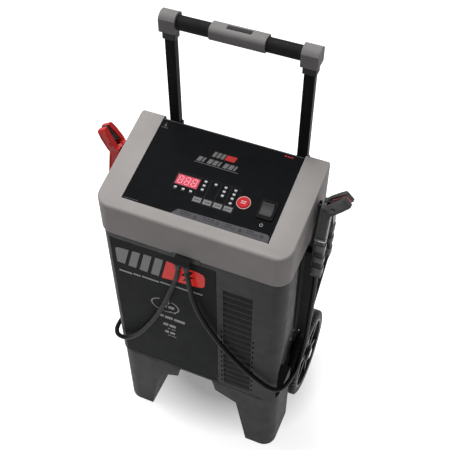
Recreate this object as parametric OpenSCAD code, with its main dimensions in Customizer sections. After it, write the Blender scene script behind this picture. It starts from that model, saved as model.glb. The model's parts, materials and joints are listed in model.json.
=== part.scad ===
// Wheeled car battery charger with a telescopic handle.
// Millimetres, +Z up, front faces -Y, origin on the floor under the middle of the box.

/* [Body] */
// Width across the top cap
body_w = 344; // [338:1:350]
// Depth of the top cap, front to back
body_d = 198; // [196:1:204]
// Height of the cap's lower edge above the floor
cap_z = 552; // [548:1:556]
// Height of the base moulding
base_h = 184; // [182:1:188]
// Height of the cap's front face
cap_front_h = 65.8; // [64:0.1:70]
// Slope of the control panel, degrees
panel_tilt = 14.2; // [13:0.1:15]
// Radius of the case's vertical corners
corner_r = 27; // [24:1:30]

/* [Wheels] */
// Wheel radius over the tyre
wheel_r = 95; // [92:1:96]
// Width of the tyre
wheel_w = 25; // [22:1:26]
// Radius of the axle
axle_r = 6; // [5:0.5:7]

/* [Handle] */
// Distance between the two handle legs, centre to centre
handle_span = 235.4; // [230:0.2:240]
// Height of the cross tube's centre, handle pulled out
handle_z = 847; // [840:0.5:854]
// Radius of the black grips
grip_r = 12; // [10:0.5:13]

/* [Leads] */
// Diameter of an output lead
lead_d = 9; // [8:0.5:10]
// Angle of the black clamp's jaws, outwards from upright, degrees
black_lean = 45; // [40:1:55]
// Angle of the red clamp's jaws, outwards from upright, degrees
red_lean = 31; // [20:1:40]
// How much lower the red clamp hangs than the black one
red_drop = 4; // [0:1:20]

/* [Hidden] */
$fn = 64;
eps = 0.01;
light_grey = [0.62, 0.60, 0.59];
mid_grey = [0.38, 0.37, 0.38];
dark_grey = [0.20, 0.20, 0.21];
black = [0.10, 0.10, 0.11];
steel = [0.62, 0.63, 0.65];
copper = [0.65, 0.36, 0.24];

// Overall plan
total_d = 290;
front_y = -total_d / 2;
wheel_y = total_d / 2 - wheel_r;
rear_y = front_y + body_d;
wall = 3;
case_inset = 2.5;
case_x = body_w / 2 - case_inset;
case_y = front_y + case_inset;
case_rear = rear_y - case_inset;
bay_x = 148;

// Control panel, measured along and square to its slope
panel_y = front_y + 22.5;
panel_half = 129;
panel_len = 168.4;
panel_seat = 5;
panel_t = 3;
panel_rear = panel_y + panel_len * cos(panel_tilt);
function top_z(y) = cap_z + cap_front_h + (y - front_y) * tan(panel_tilt);

// Points of an arc from angle a0 to a1
function arc(cx, cy, r, a0, a1, n = 8) =
    [for (i = [0:n]) let (a = a0 + (a1 - a0) * i / n) [cx + r * cos(a), cy + r * sin(a)]];

module rounded_rect(w, d, r) {
    square([w - 2 * r, d], center = true);
    square([w, d - 2 * r], center = true);
    for (sx = [-1, 1], sy = [-1, 1])
        translate([sx * (w / 2 - r), sy * (d / 2 - r)]) circle(r);
}

// A box given by its lowest and highest corners
module span_box(lo, hi) {
    translate(lo) cube([hi[0] - lo[0], hi[1] - lo[1], hi[2] - lo[2]]);
}

// A YZ outline extruded along X from x0 to x1
module extrude_x(x0, x1) {
    translate([x0, 0, 0]) rotate([90, 0, 90]) linear_extrude(x1 - x0) children();
}

// An XZ outline extruded along Y from y0 to y1
module extrude_y(y0, y1) {
    translate([0, y1, 0]) rotate([90, 0, 0]) linear_extrude(y1 - y0) children();
}

// A cylinder along X or Y between two positions
module rod_x(r, x0, x1) { translate([x0, 0, 0]) rotate([0, 90, 0]) cylinder(r = r, h = x1 - x0); }
module rod_y(r, y0, y1) { translate([0, y0, 0]) rotate([-90, 0, 0]) cylinder(r = r, h = y1 - y0); }

// Places children on the sloping panel: x across, y up the slope, z out of the cap's surface
module on_panel(x = 0, v = 0) {
    translate([0, panel_y, top_z(panel_y)]) rotate([panel_tilt, 0, 0]) translate([x, v, 0]) children();
}

module on_axle() { translate([0, wheel_y, wheel_r]) children(); }

module both_sides() { children(); mirror([1, 0, 0]) children(); }

// ---- Casing ----

foot_x = 167.5;
foot_y = case_y - 0.5;
foot_rear = foot_y + 90;
arch_low = 109;
arch_shoulder = [86, 134];
arch_web = [41, 154.5];
arch_top = 35;
floor_t = 6;
base_wall = 4;
cheek_t = 7;

module leg_outline(inset = 0) {
    polygon([[arch_low + inset, inset], [foot_x - inset, inset], [foot_x - inset, base_h - floor_t + eps],
             [arch_shoulder[0] + inset, base_h - floor_t + eps],
             [arch_shoulder[0] + inset, arch_shoulder[1]]]);
}

module web_outline() {
    polygon([arch_shoulder, arch_web, [arch_top, base_h], [arch_shoulder[0] + 1, base_h]]);
}

module base_plan(inset = 0) {
    depth = foot_rear - foot_y + corner_r;
    translate([0, foot_y + depth / 2])
        rounded_rect(2 * (foot_x - inset), depth - 2 * inset, corner_r - inset);
}

module cheek_outline() {
    polygon(concat([[case_rear, base_h], [foot_rear - 2, base_h], [foot_rear - 2, 128]],
                   arc(wheel_y, wheel_r, 22, 215, 360)));
}

module base_moulding() color(dark_grey) {
    difference() {
        union() {
            both_sides() intersection() {
                linear_extrude(base_h) base_plan();
                union() {
                    extrude_y(foot_y, foot_rear) leg_outline();
                    extrude_y(foot_y, foot_y + base_wall) web_outline();
                }
            }
            both_sides() intersection() {
                linear_extrude(base_h) base_plan();
                span_box([arch_top, foot_y, base_h - floor_t], [foot_x, foot_rear, base_h]);
            }
            span_box([-bay_x, foot_y + 24, base_h - floor_t], [bay_x, case_rear, base_h]);
            both_sides() extrude_x(bay_x - cheek_t, bay_x) cheek_outline();
        }
        both_sides() intersection() {
            translate([0, 0, base_wall]) linear_extrude(base_h) base_plan(base_wall);
            extrude_y(foot_y + base_wall, foot_rear - base_wall) leg_outline(base_wall);
        }
        on_axle() rod_x(axle_r + 0.05, -bay_x - 1, bay_x + 1);
    }
}

// Edge of the front case's side face, from the cap down to the base
pillar_edge = [[front_y + 63, cap_z], [front_y + 65, 392], [front_y + 26, 356],
               [front_y + 21, 322], [front_y + 14, 280], [front_y + 12, base_h]];

module pillar_outline(inset = 0) {
    polygon(concat([[front_y - 5, base_h - 1]], [[front_y - 5, cap_z + 1]],
                   [for (q = pillar_edge) [q[0] - inset, q[1]]],
                   [[pillar_edge[5][0] - inset, base_h - 1]]));
}

module case_plan(inset = 0) {
    translate([0, (case_y + case_rear) / 2])
        rounded_rect(2 * (case_x - inset), case_rear - case_y - 2 * inset, corner_r - 2 - inset);
}

label_x = [-152.5, 48];
label_z = [190, 538];
label_recess = 1.2;
vent_x = [60, 114];
vent_z = [197, 493];
vent_count = 18;
vent_pitch = (vent_z[1] - vent_z[0]) / vent_count;
slat_drop = 10.5;
slat_t = 2;
slat_depth = 6;
slot_rows = 11;

module slat_outline() {
    polygon([[case_y + 0.3, 0], [case_y + 0.3, slat_t], [case_y + slat_depth, slat_drop + slat_t],
             [case_y + slat_depth, slat_drop]]);
}

module front_case() color(dark_grey) {
    difference() {
        translate([0, 0, base_h]) linear_extrude(cap_z - base_h) case_plan();
        translate([0, 0, base_h - 1]) linear_extrude(cap_z - base_h + 2) case_plan(wall);
        difference() {
            span_box([-body_w, front_y - 9, base_h - 1], [body_w, rear_y + 9, cap_z + 1]);
            extrude_x(-body_w, body_w) pillar_outline();
        }
        span_box([label_x[0], case_y - 5, label_z[0]], [label_x[1], case_y + label_recess, label_z[1]]);
        span_box([vent_x[0], case_y - 5, vent_z[0]], [vent_x[1], case_y + 9, vent_z[1]]);
        // Slots beside the lower half of the vent
        for (sx = [vent_x[0] - 5, vent_x[1] + 2], i = [0:slot_rows - 1])
            span_box([sx, case_y - 5, vent_z[0] + 4 + i * vent_pitch],
                     [sx + 3, case_y + 9, vent_z[0] + 10 + i * vent_pitch]);
    }
    for (i = [0:vent_count - 1]) translate([0, 0, vent_z[0] + 1.5 + i * vent_pitch])
        extrude_x(vent_x[0] - 0.5, vent_x[1] + 0.5) slat_outline();
    // Return walls from the side faces in to the cable bays
    both_sides() intersection() {
        translate([0, 0, base_h]) linear_extrude(cap_z - base_h) case_plan(1);
        difference() {
            extrude_x(bay_x, body_w) pillar_outline();
            extrude_x(bay_x - wall - 1, body_w + 1) pillar_outline(wall);
        }
    }
}

rib_h = 5;

// Closed side of one cable bay, with a raised rib along the lower front boundary
module side_panel() {
    span_box([bay_x - wall, front_y + 10, base_h], [bay_x, case_rear - wall - 0.2, cap_z - 0.2]);
    extrude_x(bay_x - eps, bay_x + rib_h)
        polygon([[front_y + 74, 410], [front_y + 80, 406], [front_y + 78, 380], [front_y + 40, 344],
                 [front_y + 34, 250], [front_y + 28, 250], [front_y + 33, 348], [front_y + 72, 385]]);
}

module side_panel_right() color(black) side_panel();
module side_panel_left() color(black) mirror([1, 0, 0]) side_panel();

fan_x = -70;
fan_z = 440;
fan_r = 38;
gland_x = 75;
gland_z = 212;
mains_r = 6.5;

module rear_cover() color(black) difference() {
    span_box([-bay_x, case_rear - wall, base_h + 0.2], [bay_x, case_rear, cap_z - 0.2]);
    // Fan grille made of rings of slots
    for (i = [-3:3]) span_box([fan_x - sqrt(pow(fan_r, 2) - pow(i * 10, 2)), case_rear - 9, fan_z + i * 10 - 3],
                              [fan_x + sqrt(pow(fan_r, 2) - pow(i * 10, 2)), case_rear + 1, fan_z + i * 10 + 3]);
    translate([gland_x, 0, gland_z]) rod_y(9.05, case_rear - 9, case_rear + 1);
}

cap_edge_r = 5;
cap_rear_r = 8;
cap_skin = 7;
arm_crest = 9;
step_drop = 22;
gland_half = 25.5;
gland_mid = -5;
gland_top = cap_z + 3;

// Side profile of the cap: front face, rounded edge, slope, rounded back
module cap_profile(inset = 0, skin = 0) {
    f = front_y + inset;
    r = rear_y - inset;
    a = cap_edge_r;
    b = arm_crest;
    t = panel_tilt;
    fz = top_z(f + a) - skin - a / cos(t);
    rz = top_z(r - b) - skin - b / cos(t) - 2;
    polygon(concat([[f, cap_z - eps]], arc(f + a, fz, a, 180, 90 + t), arc(r - b, rz, b, 90 + t, 0),
                   [[r, cap_z - eps]]));
}

// Wide corners in front, tight ones behind
module cap_plan(inset = 0) {
    translate([0, (front_y + rear_y) / 2])
        rounded_rect(body_w - 2 * inset, body_d - 2 * inset, corner_r - inset);
    translate([0, rear_y / 2])
        rounded_rect(body_w - 2 * inset, rear_y - 2 * inset, cap_rear_r - inset);
}

// The step behind the panel, grown by the wall where it closes the hollow
module cap_step(grow = 0) {
    span_box([-panel_half - grow, panel_rear + 1 - grow, top_z(panel_rear) - step_drop - grow],
             [panel_half + grow, rear_y + 9, cap_z + 200]);
}

module top_cap() color(light_grey) difference() {
    intersection() {
        translate([0, 0, cap_z]) linear_extrude(200) cap_plan();
        extrude_x(-body_w, body_w) cap_profile();
    }
    difference() {
        intersection() {
            translate([0, 0, cap_z - 1]) linear_extrude(200) cap_plan(wall);
            union() {
                extrude_x(-body_w, body_w) cap_profile(wall, cap_skin);
                span_box([-body_w, front_y, cap_z - 1], [body_w, rear_y, cap_z + 1]);
            }
        }
        cap_step(wall);
    }
    cap_step();
    // Seat and opening of the control panel
    on_panel() span_box([-panel_half, 0, -panel_seat], [panel_half, panel_len + 30, 40]);
    on_panel() span_box([-panel_half + 8, 8, -12], [panel_half - 8, panel_len - 8, 40]);
    span_box([gland_mid - gland_half - 0.3, front_y - 9, cap_z - 1],
             [gland_mid + gland_half + 0.3, front_y + wall + 1, gland_top]);
}

label_t = 0.9;

module front_label() color(black)
    span_box([label_x[0] + 0.8, case_y + label_recess - label_t, label_z[0] + 0.8],
             [label_x[1] - 0.8, case_y + label_recess - 0.02, label_z[1] - 0.8]);

// ---- Control panel ----

button_x = [-9, 9, 27, 45];
button_v = 37;
button_size = [15, 9.5];
display_pos = [-37.9, 64.7];
display_size = [38.8, 18.6];
stop_pos = [64.4, 57];
stop_r = 10;
rocker_pos = [105.5, 56];
rocker_size = [20, 27];
bezel_size = [28, 35];
gap = 0.4;
lamp_size = [4.4, 3];
lamp_pos = concat([for (x = [-53, -39, -25.5]) [x, 49]], [for (v = [74, 66, 58]) [-8.6, v]], [[9.3, 74]],
                  [for (v = [74, 66, 58]) [27, v]], [for (v = [74, 66, 58, 49]) [44.3, v]]);

module plate_hole(pos, size) {
    translate([pos[0], pos[1], -panel_seat - 9]) linear_extrude(30) square(size, center = true);
}

module control_panel() color(black) on_panel() difference() {
    span_box([-panel_half + 0.3, 0.3, -panel_seat], [panel_half - 0.3, panel_len, -panel_seat + panel_t]);
    for (x = button_x) plate_hole([x, button_v], button_size + [2 * gap, 2 * gap]);
    for (q = lamp_pos) plate_hole(q, lamp_size + [0.2, 0.2]);
    plate_hole(display_pos, display_size + [0.2, 0.2]);
    plate_hole(rocker_pos, rocker_size + [4.2, 4.2]);
    translate([stop_pos[0], stop_pos[1], -20]) cylinder(r = stop_r + gap, h = 30);
}

panel_top = -panel_seat + panel_t;

module display_module() color([1, 0.35, 0.45]) on_panel(display_pos[0], display_pos[1])
    translate([0, 0, -14]) linear_extrude(14 + panel_top) square(display_size, center = true);

module indicator_lamps() color([0.9, 0.9, 0.9]) on_panel() for (q = lamp_pos)
    translate([q[0], q[1], -12]) linear_extrude(12 + panel_top + 0.2) square(lamp_size, center = true);

module mode_button(i) color([0.5, 0.5, 0.52]) on_panel(button_x[i - 1], button_v) {
    translate([0, 0, -8]) linear_extrude(8 + panel_top + 1.4) square(button_size, center = true);
    translate([0, 0, -8]) linear_extrude(1.5) square(button_size + [2, 2], center = true);
}
module mode_button_1() mode_button(1);
module mode_button_2() mode_button(2);
module mode_button_3() mode_button(3);
module mode_button_4() mode_button(4);

module stop_button() color([0.8, 0.1, 0.12]) on_panel(stop_pos[0], stop_pos[1]) {
    translate([0, 0, -8]) cylinder(r = stop_r, h = 8 + panel_top + 1.6);
    translate([0, 0, -8]) cylinder(r = stop_r + 1.5, h = 1.5);
}

rocker_pivot_z = -6;
rocker_rest = 8;
rocker_pin_r = 1.5;

module rocker_bezel() color(dark_grey) on_panel(rocker_pos[0], rocker_pos[1]) difference() {
    union() {
        translate([0, 0, panel_top]) linear_extrude(2.5) rounded_rect(bezel_size[0], bezel_size[1], 3);
        translate([0, 0, -20]) linear_extrude(20 + panel_top + eps)
            square(rocker_size + [4, 4], center = true);
    }
    translate([0, 0, -17]) linear_extrude(40) square(rocker_size + [2 * gap, 2 * gap], center = true);
    translate([0, 0, rocker_pivot_z]) rod_x(rocker_pin_r + 0.05, -rocker_size[0] / 2 - 1.6, rocker_size[0] / 2 + 1.6);
}

// The paddle is drawn pressed at its front end
module rocker() color(mid_grey) on_panel(rocker_pos[0], rocker_pos[1])
    translate([0, 0, rocker_pivot_z]) rotate([rocker_rest, 0, 0]) {
        difference() {
            rod_x(14.5, -rocker_size[0] / 2, rocker_size[0] / 2);
            translate([0, 0, 28.5]) rod_x(21, -rocker_size[0], rocker_size[0]);
            span_box([-rocker_size[0], -20, -20], [rocker_size[0], 20, -4]);
            for (s = [-1, 1]) span_box([-rocker_size[0], s * 17 - 4.6, -20], [rocker_size[0], s * 17 + 4.6, 20]);
        }
        rod_x(rocker_pin_r, -rocker_size[0] / 2 - 1.4, rocker_size[0] / 2 + 1.4);
    }

// ---- Output leads ----

// Routes of the leads, from the boot in front up into the clamp's front handle
lead_exit_z = 527;
black_route = [[-2, -152, 527], [-1, -152, 512], [1, -151, 490], [6, -151, 452], [17, -151, 414], [34, -151, 378],
               [57, -151, 340], [82, -151, 309], [109, -151, 282], [134, -151, 263], [154, -150, 250],
               [169, -144, 242], [178, -130, 236], [182, -110, 228], [183, -90, 221], [184, -70, 224],
               [186, -55, 242], [188, -46, 278], [189, -42, 325], [190, -41, 375], [191, -41, 430],
               [191, -41, 482], [191, -41, 530], [191, -40, 572]];
red_route = [[-17, -152, 527], [-19, -152, 512], [-24, -151, 490], [-36, -151, 452], [-51, -151, 408],
             [-68, -151, 364], [-88, -151, 322], [-112, -151, 280], [-136, -151, 251], [-154, -150, 240],
             [-169, -144, 235], [-178, -130, 232], [-182, -110, 226], [-183, -90, 221], [-184, -70, 224],
             [-186, -55, 242], [-188, -46, 278], [-189, -42, 325], [-190, -41, 375], [-191, -41, 430],
             [-191, -41, 482], [-191, -41, 530], [-191, -40, 572]];
lead_sides = 10;
lead_steps = 2;

function unit(v) = v / norm(v);
// Catmull-Rom point between p[i] and p[i + 1]
function pick(p, i) = p[max(0, min(len(p) - 1, i))];
function spline(p, i, t) =
    0.5 * (2 * pick(p, i) + (pick(p, i + 1) - pick(p, i - 1)) * t
         + (2 * pick(p, i - 1) - 5 * pick(p, i) + 4 * pick(p, i + 1) - pick(p, i + 2)) * t * t
         + (3 * pick(p, i) - pick(p, i - 1) - 3 * pick(p, i + 1) + pick(p, i + 2)) * t * t * t);
function smooth_route(p, k) =
    concat([for (i = [0:len(p) - 2], j = [0:k - 1]) spline(p, i, j / k)], [p[len(p) - 1]]);
function tangent(q, i) = unit(q[min(i + 1, len(q) - 1)] - q[max(i - 1, 0)]);
// Section axes carried along the route without twist
function carried(q, i, u) = let (t = tangent(q, i)) unit(u - t * (u * t));
function frames(q, i = 0, u = [1, 0, 0]) = i == len(q) ? [] :
    let (v = carried(q, i, u)) concat([v], frames(q, i + 1, v));

module tube_along(route, r) {
    q = smooth_route(route, lead_steps);
    f = frames(q);
    n = lead_sides;
    rings = [for (i = [0:len(q) - 1], j = [0:n - 1])
        let (w = cross(tangent(q, i), f[i]), a = 360 * j / n) q[i] + r * (cos(a) * f[i] + sin(a) * w)];
    side_faces = [for (i = [0:len(q) - 2], j = [0:n - 1])
        [i * n + j, i * n + (j + 1) % n, (i + 1) * n + (j + 1) % n, (i + 1) * n + j]];
    last = (len(q) - 1) * n;
    polyhedron(rings, concat([[for (j = [n - 1:-1:0]) j]], side_faces, [[for (j = [0:n - 1]) last + j]]));
}

module black_lead() color(black) tube_along(black_route, lead_d / 2);
module red_lead() color(black) tube_along(red_route, lead_d / 2);

boot_r = [5.6, 6.6];
boot_len = 14;

module cable_gland() color(black) {
    gland_low = lead_exit_z + boot_len;
    span_box([gland_mid - gland_half, front_y + 0.4, gland_low], [gland_mid + gland_half, case_y, gland_top - 0.3]);
    extrude_x(gland_mid - 19, gland_mid + 10)
        polygon([[front_y - 13.5, gland_low], [front_y - 12, gland_low + 3], [front_y - 3, cap_z - 2],
                 [front_y + 0.5, cap_z - 1], [front_y + 0.5, gland_low]]);
}

module lead_boots() color(dark_grey) for (p = [black_route[0], red_route[0]])
    translate(p) cylinder(r1 = boot_r[0], r2 = boot_r[1], h = boot_len);

// ---- Clamps, drawn on the right side with the pivot at the origin ----

pivot = [191, -16, 627];
rivet_r = 3;
handle_w = 18;
jaw_len = 45;
jaw_w = 18;

module at_pivot() { translate(pivot) children(); }
module red_side() { translate([0, 0, -red_drop]) mirror([1, 0, 0]) children(); }

// Handle of one arm in the YZ plane, on the -Y side
module arm_outline() {
    polygon([[-3.5, -14], [-13, -46], [-18, -62], [-19.5, -145], [-30.5, -145], [-31, -60],
             [-25, -34], [-15, 2], [-13, 8], [-5, 8]]);
}

module arm_ears(x0, x1) { for (s = [-1, 1]) rod_x(8, s > 0 ? x0 : -x1, s > 0 ? x1 : -x0); }

// One jaw shell, a little thinner towards the tip
module jaw_shell(lean) {
    rotate([0, lean, 0]) extrude_x(-jaw_w / 2, jaw_w / 2)
        polygon([[-5, -4], [-14.5, 0], [-16, 8], [-14.5, 30], [-12.5, jaw_len - 3], [-10, jaw_len],
                 [-2.8, jaw_len], [-5.5, 30], [-8, 10]]);
}

module clamp_arm(lean, ear_x0, ear_x1) {
    difference() {
        union() {
            extrude_x(-handle_w / 2, handle_w / 2) arm_outline();
            arm_ears(ear_x0, ear_x1);
            jaw_shell(lean);
        }
        rod_x(rivet_r + 0.05, -40, 40);
        // Room between this arm's ears for the other arm's
        rod_x(8.6, -ear_x0 + eps, ear_x0 - eps);
        children();
    }
}

module jaw_plate(lean) {
    rotate([0, lean, 0]) difference() {
        extrude_x(-jaw_w / 2 + 2, jaw_w / 2 - 2)
            polygon([[-7.5, 12], [-5.3, 30], [-2.6, jaw_len - 0.5], [-0.5, jaw_len - 0.5], [-3, 12]]);
        for (z = [17:4.4:jaw_len - 5]) translate([0, -3 + (z - 12) * 2.5 / (jaw_len - 12.5), z])
            extrude_x(-jaw_w, jaw_w) polygon([[-1.4, 0], [1.5, -1.6], [1.5, 1.6]]);
    }
}

// The moving arm's room for the fixed arm's outer ears
module ear_relief(x0, x1) { for (s = [-1, 1]) rod_x(8.6, s > 0 ? x0 : -x1, s > 0 ? x1 : -x0); }

outer_ear = [6.2, 9];
inner_ear = [3, 5.8];

module fixed_arm(lean) at_pivot() clamp_arm(lean, outer_ear[0], outer_ear[1]);
module moving_arm(lean) at_pivot() mirror([0, 1, 0]) clamp_arm(lean, inner_ear[0], inner_ear[1])
    ear_relief(outer_ear[0] - 0.3, 40);
module fixed_jaw(lean) at_pivot() jaw_plate(lean);
module moving_jaw(lean) at_pivot() mirror([0, 1, 0]) jaw_plate(lean);

clamp_red = [0.75, 0.14, 0.15];
module black_clamp_fixed_arm() color(black) fixed_arm(black_lean);
module black_clamp_moving_arm() color(black) moving_arm(black_lean);
module red_clamp_fixed_arm() color(clamp_red) red_side() fixed_arm(red_lean);
module red_clamp_moving_arm() color(clamp_red) red_side() moving_arm(red_lean);
module black_clamp_fixed_jaw() color(copper) fixed_jaw(black_lean);
module black_clamp_moving_jaw() color(copper) moving_jaw(black_lean);
module red_clamp_fixed_jaw() color(copper) red_side() fixed_jaw(red_lean);
module red_clamp_moving_jaw() color(copper) red_side() moving_jaw(red_lean);

rest_x = [174.5, 179.5];
rest_half = 7;

module both_clamps() { children(); red_side() children(); }

module clamp_rivets() color(steel) both_clamps() at_pivot() {
    rod_x(rivet_r, rest_x[0] - pivot[0] - 0.5, outer_ear[1] + 1);
    rod_x(rivet_r + 2, outer_ear[1] + 0.6, outer_ear[1] + 2.5);
}

module clamp_springs() color(steel) both_clamps() at_pivot() difference() {
    rod_x(6, -2.6, 2.6);
    rod_x(rivet_r + 0.4, -4, 4);
}

// Holder of one clamp: foot on the bay and upright hook under the rivet
module clamp_hook() {
    difference() {
        union() {
            span_box([bay_x, pivot[1] - rest_half, 500], [rest_x[1], pivot[1] + rest_half, 512]);
            span_box([rest_x[0], pivot[1] - rest_half, 500], [rest_x[1], pivot[1] + rest_half, pivot[2] + 5]);
        }
        at_pivot() rod_x(rivet_r, -60, 0);
        at_pivot() span_box([-60, -rivet_r, 0], [0, rivet_r, 9]);
    }
}

// Upright fin behind the clamp, down to just over the wheel
module clamp_fin() {
    extrude_y(24, 27) polygon([[bay_x, 206], [164, 206], [178.5, 236], [181, 306], [198, 491], [190, 512], [bay_x, 546]]);
    span_box([bay_x, 12, 206], [bay_x + 3, 27, 546]);
}

module clamp_rests() color(black) {
    both_clamps() clamp_hook();
    both_sides() clamp_fin();
}

// ---- Wheels ----

wheel_in = 153;
wheel_out = wheel_in + wheel_w;
rim_r = wheel_r - 17;
spoke_count = 6;

module tyre() on_axle() rotate([0, 90, 0]) rotate_extrude($fn = 96) polygon([
    [rim_r + 0.01, wheel_in], [wheel_r - 5, wheel_in], [wheel_r, wheel_in + 4],
    [wheel_r, wheel_out - 4], [wheel_r - 5, wheel_out], [rim_r + 0.01, wheel_out]]);

module hub() on_axle() difference() {
    union() {
        difference() {
            rod_x(rim_r, wheel_in + 0.5, wheel_out - 0.5);
            rod_x(rim_r - 5, wheel_in, wheel_out);
        }
        rod_x(rim_r - 4, wheel_in + 9, wheel_in + 13);
        rod_x(16, wheel_in, wheel_out + 1);
        for (i = [0:spoke_count - 1]) rotate([i * 360 / spoke_count, 0, 0])
            span_box([wheel_in + 9, -4, 10], [wheel_out - 4, 4, rim_r - 4]);
    }
    rod_x(axle_r + 0.05, wheel_in - 9, wheel_out + 9);
}

module tyre_right() color(black) tyre();
module tyre_left() color(black) mirror([1, 0, 0]) tyre();
module hub_right() color(dark_grey) hub();
module hub_left() color(dark_grey) mirror([1, 0, 0]) hub();

module axle() color(steel) on_axle() rod_x(axle_r, -wheel_out - 1.8, wheel_out + 1.8);

module axle_clips() color(steel) both_sides() on_axle() {
    difference() {
        rod_x(11, wheel_out + 1.4, wheel_out + 3);
        rod_x(axle_r, wheel_out, wheel_out + 1.8);
    }
    difference() {
        rod_x(9, bay_x + 0.2, wheel_in - 0.4);
        rod_x(axle_r, bay_x, wheel_in);
    }
}

// ---- Handle ----

leg_size = [18, 12];
leg_wall = 1.5;
leg_x = handle_span / 2;
leg_y = rear_y + 14;
leg_low = 540;
tube_wall = 1.5;
tube_low = 196;
tube_top = 640;
leg_fit = 0.5;
travel = 150;
pin_r = 2.5;
pin_z = leg_low + 12;
pin_throw = 5;

module in_leg(s) { translate([s * leg_x, leg_y, 0]) children(); }
module block(w, d, z0, z1) { translate([0, 0, z0]) linear_extrude(z1 - z0) square([w, d], center = true); }

module handle_leg(s) in_leg(s) difference() {
    block(leg_size[0], leg_size[1], leg_low, handle_z - 9);
    block(leg_size[0] - 2 * leg_wall, leg_size[1] - 2 * leg_wall, leg_low - 1, handle_z);
    translate([0, 0, pin_z]) rod_y(pin_r + 0.4, 0, 9);
}
module handle_leg_right() color(black) handle_leg(1);
module handle_leg_left() color(black) handle_leg(-1);

// The outer tubes have a long slot behind, in which the latch pins' tips run
module outer_tubes() color(black) both_sides() in_leg(1) difference() {
    w = leg_size[0] + 2 * leg_fit;
    d = leg_size[1] + 2 * leg_fit;
    block(w + 2 * tube_wall, d + 2 * tube_wall, tube_low, tube_top);
    block(w, d, tube_low - 1, tube_top + 1);
    span_box([-3.6, 0, pin_z - travel - 6], [3.6, 20, pin_z + 6]);
}

bracket_z = [250, 600];

module tube_brackets() color(dark_grey) for (z = bracket_z) difference() {
    span_box([-leg_x - 18, case_rear + 0.1, z - 12], [leg_x + 18, leg_y + 13, z + 12]);
    both_sides() in_leg(1)
        block(leg_size[0] + 2 * leg_fit + 2 * tube_wall, leg_size[1] + 2 * leg_fit + 2 * tube_wall, z - 13, z + 13);
    span_box([-leg_x + 18, case_rear + 6, z - 13], [leg_x - 18, leg_y + 20, z + 13]);
    if (z > cap_z) span_box([-body_w, 0, z - 13], [body_w, rear_y + 0.1, z + 13]);
    both_sides() in_leg(1) span_box([-4, 0, z - 13], [4, 20, z + 13]);
}

collar = [23, 18, 16];
corner_w = 28;
corner_d = 30;
corner_bottom = 832;
corner_top = 864;

module leg_collars() color(dark_grey) both_sides() in_leg(1) difference() {
    block(collar[0], collar[1], corner_bottom - collar[2], corner_bottom);
    block(leg_size[0], leg_size[1], corner_bottom - 20, corner_bottom + 1);
}

cross_r = 8;
cross_bore = 6.4;
corner_in = leg_x - corner_w / 2;

module on_bar() { translate([0, leg_y, handle_z]) children(); }

// Rounded end block, hollow where the leg, the tube and the latch yoke meet
module corner_cap(s) mirror([s < 0 ? 1 : 0, 0, 0]) difference() {
    translate([leg_x - corner_w / 2, leg_y, 0]) extrude_x(0, corner_w)
        polygon(concat([[-corner_d / 2, corner_bottom], [corner_d / 2, corner_bottom]],
                       arc(0, corner_top - 17, 17, 28, 152, 12)));
    in_leg(1) block(leg_size[0], leg_size[1], corner_bottom - 1, handle_z - 9 + 0.01);
    in_leg(1) block(leg_size[0] - 4, leg_size[1] - 3, handle_z - 10, handle_z + 5.5);
    on_bar() rod_x(cross_r, corner_in - 1, leg_x - 6.9);
}
module corner_cap_right() color(light_grey) corner_cap(1);
module corner_cap_left() color(light_grey) corner_cap(-1);

module cross_tube() color(steel) on_bar() difference() {
    rod_x(cross_r, -leg_x + 7.1, leg_x - 7.1);
    rod_x(cross_bore, -leg_x, leg_x);
    // Opening for the button's stem
    span_box([-13, -4, 0], [13, 4, 20]);
}

sleeve_half = 46.5;

module grips() color(black) both_sides() on_bar() difference() {
    rod_x(grip_r, sleeve_half, corner_in);
    rod_x(cross_r, 0, leg_x);
}

sleeve_size = [29, 25];
sleeve_lift = 1;
button_half = [20, 4];

module grip_sleeve() color(light_grey) on_bar() difference() {
    rotate([90, 0, 90]) translate([0, sleeve_lift, -sleeve_half]) linear_extrude(2 * sleeve_half)
        rounded_rect(sleeve_size[0], sleeve_size[1], 9);
    rod_x(cross_r, -99, 99);
    span_box([-button_half[0] - 0.5, -button_half[1] - 0.5, 0], [button_half[0] + 0.5, button_half[1] + 0.5, 20]);
}

module release_button() color(dark_grey) on_bar() {
    span_box([-button_half[0], -button_half[1], 11.4],
             [button_half[0], button_half[1], sleeve_size[1] / 2 + sleeve_lift + 1]);
    span_box([-12, -3.5, 3], [12, 3.5, 11.5]);
}

yoke_r = 2.2;

// Bar in the cross tube and a rod down each leg, with a wedge at each lower end
module latch_yoke() color(steel) {
    on_bar() rod_x(yoke_r, -leg_x - yoke_r, leg_x + yoke_r);
    on_bar() span_box([-11, -2, 0], [11, 2, 3]);
    both_sides() in_leg(1) {
        translate([0, 0, pin_z + 12]) cylinder(r = yoke_r, h = handle_z - pin_z - 12);
        block(4, 5, pin_z + 8, pin_z + 16);
    }
}

module latch_pins() color(steel) both_sides() in_leg(1) translate([0, 0, pin_z]) {
    rod_y(pin_r, -1, leg_size[1] / 2 + pin_throw - 2);
    span_box([-4, -1.2, -3.5], [4, 0.3, 3.5]);
}

// ---- Works inside the case ----

core_size = [120, 90, 105];
core_pos = [-40, -45, base_h + 0.1];

module transformer_core() color(steel) translate(core_pos) difference() {
    translate([-core_size[0] / 2, -core_size[1] / 2, 0]) cube(core_size);
    for (s = [-1, 1]) translate([s * 30 - 15, -core_size[1], 22]) cube([30, 2 * core_size[1], 61]);
}

module transformer_windings() color(copper) translate(core_pos) difference() {
    translate([-43, -core_size[1] / 2 - 12, 24]) cube([86, core_size[1] + 24, 57]);
    translate([-15.3, -core_size[1] / 2 - 0.3, 0]) cube([30.6, core_size[1] + 0.6, 120]);
}

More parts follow.
